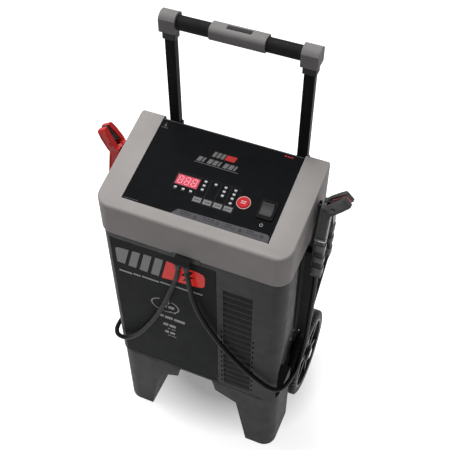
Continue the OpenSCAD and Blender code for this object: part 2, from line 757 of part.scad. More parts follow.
module heat_sink() color(steel) {
    span_box([50, 5, 300], [130, 10, 420]);
    for (i = [0:9]) span_box([50 + i * 8.5, -25, 300], [52.5 + i * 8.5, 5 + eps, 420]);
}

module power_board() color([0.1, 0.35, 0.2]) {
    span_box([-130, -100, 330], [40, -98.4, 500]);
    for (i = [0:2]) translate([-95 + i * 45, -84, 390]) cylinder(r = 14, h = 50);
    for (i = [0:2]) span_box([-99 + i * 45, -98.5, 400], [-91 + i * 45, -90, 430]);
}

module control_board() color([0.1, 0.35, 0.2]) on_panel() {
    span_box([-70, 20, -17.6], [88, 95, -16]);
    for (x = button_x) translate([x, button_v, -16.01]) linear_extrude(5) square(6, center = true);
    span_box([-50, 60, -16.01], [-26, 70, -14]);
    for (q = lamp_pos) translate([q[0], q[1], -16.01]) linear_extrude(4.01) square(2, center = true);
    translate([stop_pos[0], stop_pos[1], -16.01]) cylinder(r = 4, h = 5);
}

fan_size = 92;
fan_t = 25;
fan_front = case_rear - wall - fan_t - 0.2;

module at_fan() { translate([fan_x, fan_front, fan_z]) children(); }

module fan_frame() color(black) at_fan() difference() {
    translate([-fan_size / 2, 0, -fan_size / 2]) cube([fan_size, fan_t, fan_size]);
    difference() {
        rod_y(43, -1, fan_t + 1);
        rod_y(15, fan_t - 4, fan_t + 2);
        for (i = [0:3]) rotate([0, 45 + 90 * i, 0]) span_box([0, fan_t - 4, -3], [50, fan_t + 2, 3]);
    }
    rod_y(3.05, 0, fan_t - 1);
}

blade_count = 7;

module fan_rotor() color(dark_grey) at_fan() {
    rod_y(15, 2, fan_t - 5);
    rod_y(3, 2, fan_t - 1.2);
    for (i = [0:blade_count - 1]) rotate([0, i * 360 / blade_count, 0]) translate([12, 10, 0])
        rotate([35, 0, 0]) span_box([0, -1, -9], [28, 1, 9]);
}

module mains_gland() color(black) translate([gland_x, 0, gland_z]) difference() {
    union() {
        rod_y(9, case_rear - wall, case_rear + 1);
        rod_y(12, case_rear, case_rear + 6);
        rod_y(12, case_rear - wall - 6, case_rear - wall);
    }
    rod_y(mains_r, case_rear - 20, case_rear + 20);
}

screw_z = [205, 330, 470];

module case_screws() color(steel) both_sides() for (z = screw_z)
    translate([bay_x - 8, 0, z]) difference() {
        rod_y(4, case_rear, case_rear + 2);
        span_box([-3, case_rear + 1, -0.6], [3, case_rear + 3, 0.6]);
        span_box([-0.6, case_rear + 1, -3], [0.6, case_rear + 3, 3]);
    }

base_moulding();
front_case();
side_panel_left();
side_panel_right();
rear_cover();
top_cap();
control_panel();
display_module();
indicator_lamps();
front_label();
cable_gland();
lead_boots();
red_lead();
black_lead();
clamp_rests();
outer_tubes();
tube_brackets();
axle();
axle_clips();
rocker_bezel();
transformer_core();
transformer_windings();
heat_sink();
control_board();
power_board();
fan_frame();
mains_gland();
case_screws();
red_clamp_fixed_arm();
red_clamp_moving_arm();
black_clamp_fixed_arm();
black_clamp_moving_arm();
red_clamp_fixed_jaw();
red_clamp_moving_jaw();
black_clamp_fixed_jaw();
black_clamp_moving_jaw();
clamp_rivets();
clamp_springs();
handle_leg_left();
handle_leg_right();
leg_collars();
corner_cap_left();
corner_cap_right();
cross_tube();
grips();
grip_sleeve();
release_button();
latch_yoke();
latch_pins();
hub_left();
tyre_left();
hub_right();
tyre_right();
rocker();
mode_button_1();
mode_button_2();
mode_button_3();
mode_button_4();
stop_button();
fan_rotor();
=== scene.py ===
import json
import math

import bmesh
import bpy
from mathutils import Matrix, Vector

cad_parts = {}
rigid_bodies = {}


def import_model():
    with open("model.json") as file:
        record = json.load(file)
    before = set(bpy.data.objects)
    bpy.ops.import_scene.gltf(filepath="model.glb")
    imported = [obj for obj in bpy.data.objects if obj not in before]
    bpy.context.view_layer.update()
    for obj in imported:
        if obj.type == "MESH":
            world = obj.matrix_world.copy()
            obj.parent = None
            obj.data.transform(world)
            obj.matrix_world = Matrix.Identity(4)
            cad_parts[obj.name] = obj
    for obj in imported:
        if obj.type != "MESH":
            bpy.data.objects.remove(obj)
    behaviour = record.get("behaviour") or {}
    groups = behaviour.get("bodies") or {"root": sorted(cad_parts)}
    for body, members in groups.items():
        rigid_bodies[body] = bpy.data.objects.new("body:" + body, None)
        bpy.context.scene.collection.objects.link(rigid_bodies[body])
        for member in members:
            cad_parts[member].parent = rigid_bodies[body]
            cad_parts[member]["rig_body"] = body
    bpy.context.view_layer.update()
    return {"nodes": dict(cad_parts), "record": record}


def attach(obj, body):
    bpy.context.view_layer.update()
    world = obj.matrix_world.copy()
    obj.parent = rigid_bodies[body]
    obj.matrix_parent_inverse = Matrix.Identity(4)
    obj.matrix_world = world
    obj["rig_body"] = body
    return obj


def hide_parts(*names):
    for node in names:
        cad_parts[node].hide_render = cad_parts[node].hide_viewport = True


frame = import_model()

MM = 0.001

# ---------------------------------------------------------------- driving sizes, millimetres
FRONT_Y, REAR_Y = -145.0, 53.0
CASE_Y = FRONT_Y + 2.5
BAY_X = 148.0
CAP_Z, CAP_FRONT_H = 552.0, 65.8
TILT = math.radians(14.2)
PANEL_Y = FRONT_Y + 22.5
PANEL_SINK = 2.0
WHEEL_Y, WHEEL_R = 50.0, 95.0
CLAMP_PIVOT = {1: Vector((191.0, -16.0, 627.0)), -1: Vector((-191.0, -16.0, 623.0))}
LEAN = {1: math.radians(45), -1: math.radians(31)}
LEAD_D = 9.0
LABEL_Y = CASE_Y + 0.3
CAP_HALF_X = 172.0
CROWN_ROUND, CROWN_FRONT_R, CROWN_REAR_R = 4.5, 27.0, 13.0
PRINT_H = 0.12


def top_z(y):
    return CAP_Z + CAP_FRONT_H + (y - FRONT_Y) * math.tan(TILT)


def on_panel(x, v, n=0.0):
    """A point on the sloping panel: x across, v up the slope, n out of the panel's own face."""
    n -= PANEL_SINK
    return Vector((x, PANEL_Y + v * math.cos(TILT) - n * math.sin(TILT),
                   top_z(PANEL_Y) + v * math.sin(TILT) + n * math.cos(TILT)))


def on_label(x, z, n=0.0):
    """A point on the front label: n out of its face."""
    return Vector((x, LABEL_Y - n, z))


def on_clamp(side, along_x, y, z, lean=0.0):
    """A point given in a clamp's own axes, from its pivot; the jaws lean outwards."""
    x, up = along_x * math.cos(lean) + z * math.sin(lean), z * math.cos(lean) - along_x * math.sin(lean)
    return CLAMP_PIVOT[side] + Vector((side * x, y, up))


# ---------------------------------------------------------------- camera
def make_camera():
    azimuth, elevation, roll = (math.radians(a) for a in (23.22, 48.27, -0.26))
    back = Vector((math.sin(azimuth) * math.cos(elevation),
                   -math.cos(azimuth) * math.cos(elevation), math.sin(elevation)))
    right = (-back).cross(Vector((0, 0, 1))).normalized()
    up = right.cross(-back)
    right, up = (math.cos(roll) * right + math.sin(roll) * up,
                 -math.sin(roll) * right + math.cos(roll) * up)
    data = bpy.data.cameras.new("camera")
    data.lens, data.sensor_width = 63.78, 36
    camera = bpy.data.objects.new("camera", data)
    camera.matrix_world = Matrix((
        (right.x, up.x, back.x, 0.38305), (right.y, up.y, back.y, -0.88542),
        (right.z, up.z, back.z, 1.56639), (0, 0, 0, 1)))
    bpy.context.scene.collection.objects.link(camera)
    bpy.context.scene.camera = camera


make_camera()


# ---------------------------------------------------------------- materials
class Nodes:
    """A short way to build a node material."""

    def __init__(self, name):
        self.material = bpy.data.materials.new(name)
        self.material.use_nodes = True
        self.tree = self.material.node_tree
        self.shader = self.tree.nodes["Principled BSDF"]
        coordinates = self.tree.nodes.new("ShaderNodeTexCoord")
        self.place = coordinates.outputs["Object"]

    def link(self, a, b):
        self.tree.links.new(a, b)

    def noise(self, scale, detail=4.0, rough=0.55, stretch=(1, 1, 1)):
        mapping = self.tree.nodes.new("ShaderNodeMapping")
        mapping.inputs["Scale"].default_value = stretch
        self.link(self.place, mapping.inputs["Vector"])
        texture = self.tree.nodes.new("ShaderNodeTexNoise")
        texture.inputs["Scale"].default_value = scale
        texture.inputs["Detail"].default_value = detail
        texture.inputs["Roughness"].default_value = rough
        self.link(mapping.outputs["Vector"], texture.inputs["Vector"])
        return texture.outputs["Fac"]

    def ramp(self, value, low, high, start=0.3, end=0.7):
        """Maps value between two grey levels or two colours."""
        ramp = self.tree.nodes.new("ShaderNodeValToRGB")
        ramp.color_ramp.elements[0].position, ramp.color_ramp.elements[1].position = start, end
        for element, c in zip(ramp.color_ramp.elements, (low, high)):
            element.color = (*c, 1) if hasattr(c, "__len__") else (c, c, c, 1)
        self.link(value, ramp.inputs["Fac"])
        return ramp.outputs["Color"]

    def bump(self, value, strength, depth, before=None):
        bump = self.tree.nodes.new("ShaderNodeBump")
        bump.inputs["Strength"].default_value = strength
        bump.inputs["Distance"].default_value = depth
        self.link(value, bump.inputs["Height"])
        if before is not None:
            self.link(before, bump.inputs["Normal"])
        return bump.outputs["Normal"]

    def set(self, **sockets):
        names = {"specular": "Specular IOR Level", "metallic": "Metallic", "roughness": "Roughness",
                 "glow": "Emission Strength"}
        for key, value in sockets.items():
            self.shader.inputs[names[key]].default_value = value


def shade(colour, factor):
    return tuple(min(1.0, c * factor) for c in colour)


def moulded(name, colour, rough=(0.42, 0.56), grain=1400, grain_depth=0.00012, strength=0.25, vary=0.08,
            specular=0.4):
    """Moulded plastic: fine spark-eroded grain, faint cloudiness and rub marks."""
    n = Nodes(name)
    cloud = n.noise(9, 5, 0.6)
    n.link(n.ramp(cloud, shade(colour, 1 - vary), shade(colour, 1 + vary)), n.shader.inputs["Base Color"])
    n.link(n.ramp(n.noise(60, 6, 0.65), rough[0], rough[1]), n.shader.inputs["Roughness"])
    fine = n.bump(n.noise(grain, 2, 0.5), strength, grain_depth)
    n.link(n.bump(n.noise(35, 3), 0.05, 0.0006, fine), n.shader.inputs["Normal"])
    n.set(specular=specular)
    return n.material


def painted(name, colour):
    """Satin paint on drawn steel: faint orange peel, a few long rub marks along the tube."""
    n = Nodes(name)
    streaks = n.noise(240, 4, 0.7, (1, 1, 0.04))
    n.link(n.ramp(streaks, shade(colour, 0.8), shade(colour, 1.5), 0.35, 0.8), n.shader.inputs["Base Color"])
    n.link(n.ramp(streaks, 0.3, 0.42), n.shader.inputs["Roughness"])
    n.link(n.bump(n.noise(500, 2), 0.12, 0.0002), n.shader.inputs["Normal"])
    n.set(specular=0.015)
    return n.material


def rubber(name, colour, rough=(0.55, 0.75), dust=0.35, grain=900, specular=0.35):
    """Soft rubber with a dry, slightly dusty skin."""
    n = Nodes(name)
    n.link(n.ramp(n.noise(28, 7, 0.7), colour, shade(colour, 1 + dust), 0.4, 0.75),
           n.shader.inputs["Base Color"])
    n.link(n.ramp(n.noise(90, 4), rough[0], rough[1]), n.shader.inputs["Roughness"])
    n.link(n.bump(n.noise(grain, 3), 0.25, 0.0002), n.shader.inputs["Normal"])
    n.set(specular=specular)
    return n.material


def metal(name, colour, rough=(0.22, 0.38), brush=(1, 1, 1), scratch=700):
    """Bare or plated metal with brushed grain."""
    n = Nodes(name)
    grain = n.noise(scratch, 3, 0.6, brush)
    n.link(n.ramp(grain, shade(colour, 0.82), colour), n.shader.inputs["Base Color"])
    n.link(n.ramp(n.noise(50, 5), rough[0], rough[1]), n.shader.inputs["Roughness"])
    n.link(n.bump(grain, 0.15, 0.0001), n.shader.inputs["Normal"])
    n.set(metallic=1.0)
    return n.material


def glowing(name, colour, strength, vary=0.12):
    """A lit window, and also the label's red print given a painted glow: colour and glow both carry a faint
    unevenness.
    """
    n = Nodes(name)
    uneven = n.ramp(n.noise(130, 3), shade(colour, 1 - vary), shade(colour, 1 + vary))
    n.link(n.ramp(n.noise(130, 3), shade(colour, 0.15), shade(colour, 0.25)), n.shader.inputs["Base Color"])
    n.link(uneven, n.shader.inputs["Emission Color"])
    n.link(n.ramp(n.noise(300, 2), 0.2, 0.32), n.shader.inputs["Roughness"])
    n.link(n.bump(n.noise(900, 2), 0.05, 0.0001), n.shader.inputs["Normal"])
    n.set(glow=strength, specular=0.15)
    return n.material


CAP = moulded("cap_plastic", (0.42, 0.395, 0.385), (0.5, 0.62), specular=0.25)
TRIM = moulded("trim_plastic", (0.27, 0.258, 0.258), (0.45, 0.58), specular=0.07)
CASE = moulded("case_plastic", (0.044, 0.044, 0.046), (0.5, 0.64), strength=0.35, specular=0.2)
BASE = moulded("base_plastic", (0.056, 0.056, 0.058), (0.5, 0.66), strength=0.35, specular=0.2)
BLACK = moulded("black_plastic", (0.012, 0.012, 0.013), (0.4, 0.55), specular=0.25)
BEZEL = moulded("bezel_plastic", (0.007, 0.007, 0.008), (0.45, 0.6), specular=0.08)
PANEL = moulded("panel_overlay", (0.0062, 0.0067, 0.0078), (0.5, 0.6), grain=2200, grain_depth=0.00005,
                strength=0.12, vary=0.05, specular=0.035)
LABEL = moulded("label_film", (0.0125, 0.0135, 0.015), (0.5, 0.6), grain=2200, grain_depth=0.00005,
                strength=0.12, vary=0.05, specular=0.06)
PRINT_GREY = moulded("print_grey", (0.16, 0.155, 0.16), (0.4, 0.5), vary=0.05, specular=0.2)
PRINT_PALE = moulded("print_pale", (0.52, 0.5, 0.5), (0.4, 0.5), vary=0.05, specular=0.2)
PRINT_RED = moulded("print_red", (0.60, 0.03, 0.03), (0.4, 0.5), vary=0.06, specular=0.1)
STOP_RIM = moulded("stop_rim_print", (0.80, 0.42, 0.42), (0.4, 0.5), vary=0.05, specular=0.2)
PRINT_DARK = moulded("print_dark", (0.012, 0.012, 0.014), (0.4, 0.5), vary=0.05, specular=0.2)
LINE = moulded("print_line", (0.028, 0.028, 0.031), (0.4, 0.5), vary=0.05, specular=0.1)
LABEL_GREY = moulded("label_print_grey", (0.42, 0.41, 0.42), (0.4, 0.5), vary=0.05, specular=0.2)
LABEL_PALE = moulded("label_print_pale", (0.60, 0.59, 0.60), (0.4, 0.5), vary=0.05, specular=0.2)
# The label's red print glows though it is no lamp: a painted glow.
LABEL_RED_PAINTED_GLOW = glowing("label_print_red_painted_glow", (0.62, 0.022, 0.016), 0.62)
STRIP = moulded("strip_film", (0.088, 0.084, 0.094), (0.36, 0.46), grain=2000, grain_depth=0.00005,
                strength=0.12, vary=0.04, specular=0.1)
BUTTON = moulded("button_plastic", (0.16, 0.16, 0.165), (0.4, 0.5))
STOP = moulded("stop_plastic", (0.66, 0.012, 0.02), (0.4, 0.5), strength=0.1, specular=0.1)
ROCKER = moulded("rocker_plastic", (0.085, 0.083, 0.085), (0.5, 0.62), specular=0.12)
TUBE = painted("tube_paint", (0.021, 0.0215, 0.024))
TYRE = rubber("tyre_rubber", (0.014, 0.014, 0.015), dust=0.8)
CORD = rubber("cord_rubber", (0.009, 0.009, 0.010), (0.36, 0.5), dust=0.3, grain=1500, specular=0.12)
GRIP = rubber("grip_foam", (0.015, 0.015, 0.016), (0.6, 0.75), grain=2500, specular=0.14)
HUB = moulded("hub_plastic", (0.03, 0.03, 0.032), (0.34, 0.5))
RED = moulded("clamp_red_plastic", (0.72, 0.026, 0.024), (0.3, 0.42), strength=0.12, vary=0.12)
CLAMP_BLACK = moulded("clamp_black_plastic", (0.075, 0.075, 0.078), (0.32, 0.46), vary=0.12)
# A lighter copy of the black clamp plastic: painted highlight on the black clamp's pads and rails.
CLAMP_BLACK_PAINTED_HIGHLIGHT = moulded("clamp_black_plastic_painted_highlight", (0.11, 0.11, 0.113), (0.3, 0.42), vary=0.12)
COPPER = metal("jaw_copper_metal", (0.75, 0.36, 0.34), (0.3, 0.5))
TOOTH = metal("jaw_dull_metal", (0.2, 0.15, 0.14), (0.45, 0.6))
STEEL = metal("plated_steel", (0.55, 0.55, 0.57))
DARK_STEEL = metal("blackened_steel", (0.07, 0.07, 0.075), (0.35, 0.5))
CORE = metal("core_laminations", (0.16, 0.16, 0.17), (0.45, 0.6), (1, 1, 12), 300)
WIRE = metal("winding_wire", (0.5, 0.2, 0.08), (0.3, 0.45), (1, 1, 8), 260)
BOARD = moulded("board_mask", (0.015, 0.11, 0.04), (0.25, 0.35))
SINK = metal("sink_aluminium_metal", (0.6, 0.6, 0.62), (0.35, 0.5))
DISPLAY = glowing("display_glow", (0.60, 0.035, 0.075), 0.95)
SEGMENT = glowing("segment_glow", (0.95, 0.30, 0.38), 0.95)
LAMP = moulded("lamp_print", (0.62, 0.62, 0.64), (0.3, 0.4), vary=0.05)


# ---------------------------------------------------------------- mesh helpers
SLOT_OF = {part["node"]: part["material_slot"] for part in frame["record"]["subparts"]}


def show(mesh, name, body, slot, *materials, sharp=35, covers=()):
    """Links a finished mesh as a piece on a body."""
    mesh.shade_smooth()
    mesh.set_sharp_from_angle(angle=math.radians(sharp))
    piece = bpy.data.objects.new(name, mesh)
    bpy.context.scene.collection.objects.link(piece)
    for m in materials:
        mesh.materials.append(m)
    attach(piece, body)
    if covers:
        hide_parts(*covers)
    return piece


def baked(piece):
    """Applies a piece's modifiers."""
    graph = bpy.context.evaluated_depsgraph_get()
    mesh = bpy.data.meshes.new_from_object(piece.evaluated_get(graph), depsgraph=graph)
    old = piece.data
    piece.modifiers.clear()
    piece.data = mesh
    bpy.data.meshes.remove(old)
    return piece


def cleaned(mesh, flat=True):
    """A mesh as a bmesh, welded and with its flat faces whole again."""
    work = bmesh.new()
    work.from_mesh(mesh)
    bmesh.ops.remove_doubles(work, verts=work.verts, dist=2e-6)
    if flat:
        bmesh.ops.dissolve_limit(work, angle_limit=math.radians(0.6), verts=work.verts, edges=work.edges)
    return work


def standing(node, material, flat=True):
    """A copy of a CAD node that stands for it."""
    mesh = merged([cleaned(frame["nodes"][node].data, flat)], node + "_form")
    body = frame["nodes"][node]["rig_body"]
    return show(mesh, node + "_form", body, SLOT_OF[node], material, covers=(node,))


def prism(points, thickness, place):
    """A closed plate: an outline in its own plane, mapped by place(u, v, n)."""
    work = bmesh.new()
    low = [work.verts.new(place(u, v, 0) * MM) for u, v in points]
    high = [work.verts.new(place(u, v, thickness) * MM) for u, v in points]
    count = len(points)
    work.faces.new(high)
    work.faces.new(low[::-1])
    for i in range(count):
        j = (i + 1) % count
        work.faces.new((low[i], low[j], high[j], high[i]))
    bmesh.ops.recalc_face_normals(work, faces=work.faces)
    return work


def merged(works, name):
    """Several bmeshes as one mesh."""
    whole = bmesh.new()
    for work in works:
        part = bpy.data.meshes.new("part")
        work.to_mesh(part)
        work.free()
        whole.from_mesh(part)
        bpy.data.meshes.remove(part)
    mesh = bpy.data.meshes.new(name)
    whole.to_mesh(mesh)
    whole.free()
    return mesh


def rectangle(cx, cy, w, h):
    return [(cx - w / 2, cy - h / 2), (cx + w / 2, cy - h / 2),
            (cx + w / 2, cy + h / 2), (cx - w / 2, cy + h / 2)]


def rounded(cx, cy, w, h, r, n=5, far=None):
    """A rectangle with round corners; far is the radius of the two at the upper side."""
    points = []
    for k, (sx, sy) in enumerate(((1, 1), (-1, 1), (-1, -1), (1, -1))):
        q = r if far is None or sy < 0 else far
        for i in range(n + 1):
            a = math.pi / 2 * (k + i / n)
            points.append((cx + sx * (w / 2 - q) + q * math.cos(a), cy + sy * (h / 2 - q) + q * math.sin(a)))
    return points


def disc(cx, cy, r, n):
    turns = (2 * math.pi * i / n for i in range(n))
    return [(cx + r * math.cos(a), cy + r * math.sin(a)) for a in turns]


def ring(cx, cy, r0, r1, thickness, place, squash=1.0, n=48, start=0.0, sweep=1.0):
    """A flat ring, or an arc of one, between two radii."""
    work = bmesh.new()
    whole = sweep >= 1.0
    rows = []
    for i in range(n if whole else n + 1):
        a = 2 * math.pi * (start + sweep * i / n)
        rows.append([work.verts.new(place(cx + r * math.cos(a), cy + squash * r * math.sin(a), h) * MM)
                     for r, h in ((r0, 0), (r1, 0), (r1, thickness), (r0, thickness))])
    for i in range(len(rows) if whole else len(rows) - 1):
        a, b = rows[i], rows[(i + 1) % len(rows)]
        for k in range(4):
            m = (k + 1) % 4
            work.faces.new((a[k], a[m], b[m], b[k]))
    if not whole:
        work.faces.new(rows[0])
        work.faces.new(rows[-1][::-1])
    bmesh.ops.recalc_face_normals(work, faces=work.faces)
    return work


def stroke(points, width):
    """Outline of a bar of one width along a bent line."""
    sides = [[], []]
    for i, p in enumerate(points):
        a, b = points[max(i - 1, 0)], points[min(i + 1, len(points) - 1)]
        d = Vector((b[0] - a[0], b[1] - a[1])).normalized() * width / 2
        sides[0].append((p[0] - d.y, p[1] + d.x))
        sides[1].append((p[0] + d.y, p[1] - d.x))
    return sides[0] + sides[1][::-1]


def slanted(x, y, w, h, lean=0.25):
    """A leaning bar from its lower left corner."""
    return [(x, y), (x + w, y), (x + w + lean * h, y + h), (x + lean * h, y + h)]


def softened(piece, width, segments=2, sharp=32):
    bevel = piece.modifiers.new("edges", "BEVEL")
    bevel.width, bevel.segments = width * MM, segments
    bevel.limit_method, bevel.angle_limit = "ANGLE", math.radians(sharp)
    bevel.harden_normals = True
    return baked(piece)


# ---------------------------------------------------------------- leads
BLACK_ROUTE = [
    (-2, -152, 527), (-1, -152, 512), (1, -151, 490), (6, -151, 452), (17, -151, 414), (34, -151, 378),
    (57, -151, 340), (82, -151, 309), (109, -151, 282), (134, -151, 263), (154, -150, 250),
    (169, -144, 242), (178, -130, 236), (182, -110, 228), (183, -90, 221), (184, -70, 224),
    (186, -55, 242), (188, -46, 278), (189, -42, 325), (190, -41, 375), (191, -41, 430), (191, -41, 482),
    (191, -41, 530), (191, -40, 572)]
RED_ROUTE = [
    (-17, -152, 527), (-19, -152, 512), (-24, -151, 490), (-36, -151, 452), (-51, -151, 408),
    (-68, -151, 364), (-88, -151, 322), (-112, -151, 280), (-136, -151, 251), (-154, -150, 240),
    (-169, -144, 235), (-178, -130, 232), (-182, -110, 226), (-183, -90, 221), (-184, -70, 224),
    (-186, -55, 242), (-188, -46, 278), (-189, -42, 325), (-190, -41, 375), (-191, -41, 430),
    (-191, -41, 482), (-191, -41, 530), (-191, -40, 572)]


def smooth_route(route, steps):
    """Catmull-Rom points along a route."""
    points = [Vector(p) for p in route]
    pick = lambda i: points[max(0, min(len(points) - 1, i))]
    out = []
    for i in range(len(points) - 1):
        a, b, c, d = pick(i - 1), pick(i), pick(i + 1), pick(i + 2)
        for j in range(steps):
            t = j / steps
            out.append(0.5 * (2 * b + (c - a) * t + (2 * a - 5 * b + 4 * c - d) * t * t
                              + (3 * b - a - 3 * c + d) * t ** 3))
    return out + [points[-1]]


def swept(path, radius, sides):
    """A closed tube along a path."""
    work = bmesh.new()
    across = Vector((1, 0, 0))
    rings = []
    for i, p in enumerate(path):
        ahead = (path[min(i + 1, len(path) - 1)] - path[max(i - 1, 0)]).normalized()
        across = (across - ahead * across.dot(ahead)).normalized()
        other = ahead.cross(across)
        rings.append([work.verts.new((p + radius * (math.cos(a) * across + math.sin(a) * other)) * MM)
                      for a in (2 * math.pi * k / sides for k in range(sides))])
    for low, high in zip(rings, rings[1:]):
        for k in range(sides):
            m = (k + 1) % sides
            work.faces.new((low[k], low[m], high[m], high[k]))
    work.faces.new(rings[0][::-1])
    work.faces.new(rings[-1])
    bmesh.ops.recalc_face_normals(work, faces=work.faces)
    return work


def make_lead(name, node, route):
    path = smooth_route(route, 6)
    length = sum((b - a).length for a, b in zip(path, path[1:]))
    tube = merged([swept(path, LEAD_D / 2, 20)], name)
    piece = show(tube, name, "charger", "lead_rubber", CORD, covers=(node,))
    return piece, path, length


black_lead = make_lead("black_output_lead", "black_lead", BLACK_ROUTE)
red_lead = make_lead("red_output_lead", "red_lead", RED_ROUTE)

# ---------------------------------------------------------------- nodes shown with rounded edges
FORMS = [
    ("base_moulding", 2.5, BASE), ("front_case", 0.5, CASE), ("side_panel_left", 1.0, BLACK),
    ("side_panel_right", 1.0, BLACK), ("rear_cover", 0.8, BLACK),
    ("control_panel", 0.3, PANEL), ("front_label", 0.3, LABEL), ("cable_gland", 1.0, BLACK),
    ("clamp_rests", 0.8, BLACK), ("outer_tubes", 0.8, TUBE),
    ("tube_brackets", 1.2, BLACK), ("axle_clips", 0.3, STEEL), ("rocker_bezel", 0.8, BEZEL),
    ("mains_gland", 0.8, BLACK), ("case_screws", 0.2, STEEL),
    ("red_clamp_fixed_arm", 1.5, RED), ("red_clamp_moving_arm", 1.1, RED),
    ("black_clamp_fixed_arm", 1.5, CLAMP_BLACK), ("black_clamp_moving_arm", 1.5, CLAMP_BLACK),
    ("red_clamp_fixed_jaw", 0.2, TOOTH), ("red_clamp_moving_jaw", 0.2, TOOTH),
    ("black_clamp_fixed_jaw", 0.2, COPPER), ("black_clamp_moving_jaw", 0.2, COPPER),
    ("handle_leg_left", 1.2, TUBE), ("handle_leg_right", 1.2, TUBE), ("leg_collars", 1.0, CASE),
    ("corner_cap_left", 2.2, TRIM), ("corner_cap_right", 2.2, TRIM), ("grips", 1.5, GRIP),
    ("grip_sleeve", 1.2, TRIM), ("release_button", 0.8, CASE), ("cross_tube", 0.3, STEEL),
    ("hub_left", 1.0, HUB), ("hub_right", 1.0, HUB),
    ("rocker", 0.8, ROCKER), ("mode_button_1", 0.6, BUTTON), ("mode_button_2", 0.6, BUTTON),
    ("mode_button_3", 0.6, BUTTON), ("mode_button_4", 0.6, BUTTON), ("stop_button", 0.8, STOP),
]
for node, width, material in FORMS:
    softened(standing(node, material), width, 3)

PLAIN = {
    "axle": STEEL, "transformer_core": CORE, "transformer_windings": WIRE, "heat_sink": SINK,
    "control_board": BOARD, "power_board": BOARD, "fan_frame": BLACK, "fan_rotor": HUB,
    "latch_yoke": STEEL, "latch_pins": STEEL, "display_module": DISPLAY, "indicator_lamps": LAMP,
}
for node, material in PLAIN.items():
    for slot in frame["nodes"][node].material_slots:
        slot.material = material


def parted(node, middle, names, width, material):
    """A node with one piece each side of x = middle, as two pieces."""
    for side, name in zip((-1, 1), names):
        work = cleaned(frame["nodes"][node].data)
        gone = [v for v in work.verts if (v.co.x / MM - middle) * side < 0]
        bmesh.ops.delete(work, geom=gone, context="VERTS")
        mesh = merged([work], name)
        softened(show(mesh, name, frame["nodes"][node]["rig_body"], SLOT_OF[node], material,
                      covers=(node,) if side < 0 else ()), width)


parted("lead_boots", -9.5, ("red_lead_boot", "black_lead_boot"), 0.8, BLACK)
parted("clamp_rivets", 0, ("red_clamp_rivet", "black_clamp_rivet"), 0.5, DARK_STEEL)
parted("clamp_springs", 0, ("red_clamp_spring", "black_clamp_spring"), 0.5, DARK_STEEL)
# The coils are drawn narrower than the room between the arms' ears
COIL_SHARE = 0.7
for side, coil in ((-1, "red_clamp_spring"), (1, "black_clamp_spring")):
    pivot_x = CLAMP_PIVOT[side].x * MM
    for v in bpy.data.objects[coil].data.vertices:
        v.co.x = pivot_x + COIL_SHARE * (v.co.x - pivot_x)


# ---------------------------------------------------------------- cap with its rounded crown
def crown_form():
    """The solid under the crown, on a plan a hair larger than the cap and rounded over at its upper edge."""
    clear, lift = 0.05, 0.06
    floor_z, steps, corner_steps = 500.0, 9, 14
    mid, half_y = (FRONT_Y + REAR_Y) / 2, (REAR_Y - FRONT_Y) / 2 + clear
    half_x = CAP_HALF_X + clear
    levels = [(0.0, None)]
    for k in range(steps + 1):
        a = math.pi / 2 * k / steps
        levels.append((CROWN_ROUND * (1 - math.cos(a)), CROWN_ROUND * (1 - math.sin(a)) - lift))
    work = bmesh.new()
    rings = []
    for inset, drop in levels:
        outline = rounded(0, mid, 2 * (half_x - inset), 2 * (half_y - inset), CROWN_FRONT_R - inset,
                          corner_steps, CROWN_REAR_R - inset)
        rings.append([work.verts.new((x * MM, y * MM, (floor_z if drop is None else top_z(y) - drop) * MM))
                      for x, y in outline])
    for lower, upper in zip(rings, rings[1:]):
        for k in range(len(lower)):
            m = (k + 1) % len(lower)
            work.faces.new((lower[k], lower[m], upper[m], upper[k]))
    work.faces.new(rings[0][::-1])
    work.faces.new(rings[-1])
    bmesh.ops.recalc_face_normals(work, faces=work.faces)
    return merged([work], "crown")


def make_cap():
    """The cap cut to the crown, which rounds over all along its outer edge."""
    crown = bpy.data.objects.new("crown", crown_form())
    bpy.context.scene.collection.objects.link(crown)
    piece = standing("top_cap", CAP, flat=False)
    cut = piece.modifiers.new("crown", "BOOLEAN")
    cut.operation, cut.object, cut.solver = "INTERSECT", crown, "EXACT"
    baked(piece)
    bpy.data.objects.remove(crown)
    work = cleaned(piece.data)
    work.to_mesh(piece.data)
    work.free()
    piece.data.shade_smooth()
    piece.data.set_sharp_from_angle(angle=math.radians(35))
    softened(piece, 1.3, 3, 40)


make_cap()


# ---------------------------------------------------------------- tyres
def make_tyre(side, name, node, body):
    """Ribbed tread with cross cuts on both shoulders."""
    # Across the wheel: place, radius, and how deep the cross cuts go there
    profile = [(153.5, 78.1, 0), (153, 82, 0), (153, 88, 0), (154.2, 91.3, 0.5), (156.2, 94, 2.2),
               (159.6, 95, 2.2), (160.2, 92.6, 0), (162.2, 92.6, 0), (162.8, 95, 0), (168.2, 95, 0),
               (168.8, 92.6, 0), (170.8, 92.6, 0), (171.4, 95, 2.2), (174.8, 94, 2.2), (176.8, 91.3, 0.5),
               (178, 88, 0), (178, 82, 0), (177.5, 78.1, 0)]
    blocks = 54
    block_steps = ((0, 0), (0.35, 0), (0.7, 0), (0.75, 1), (0.95, 1))
    angles = [(i + step, cut) for i in range(blocks) for step, cut in block_steps]
    work = bmesh.new()
    rows = []
    for turn, cut in angles:
        a = 2 * math.pi * turn / blocks
        rows.append([work.verts.new(Vector((side * x, WHEEL_Y + (r - cut * depth) * math.sin(a),
                                            WHEEL_R + (r - cut * depth) * math.cos(a))) * MM)
                     for x, r, depth in profile])
    for i, row in enumerate(rows):
        other = rows[(i + 1) % len(rows)]
        for k in range(len(profile)):
            m = (k + 1) % len(profile)
            work.faces.new((row[k], row[m], other[m], other[k]))
    bmesh.ops.recalc_face_normals(work, faces=work.faces)
    show(merged([work], name), name, body, "tyre_black", TYRE, covers=(node,), sharp=28)


make_tyre(-1, "tyre_left_tread", "tyre_left", "wheel_left")
make_tyre(1, "tyre_right_tread", "tyre_right", "wheel_right")


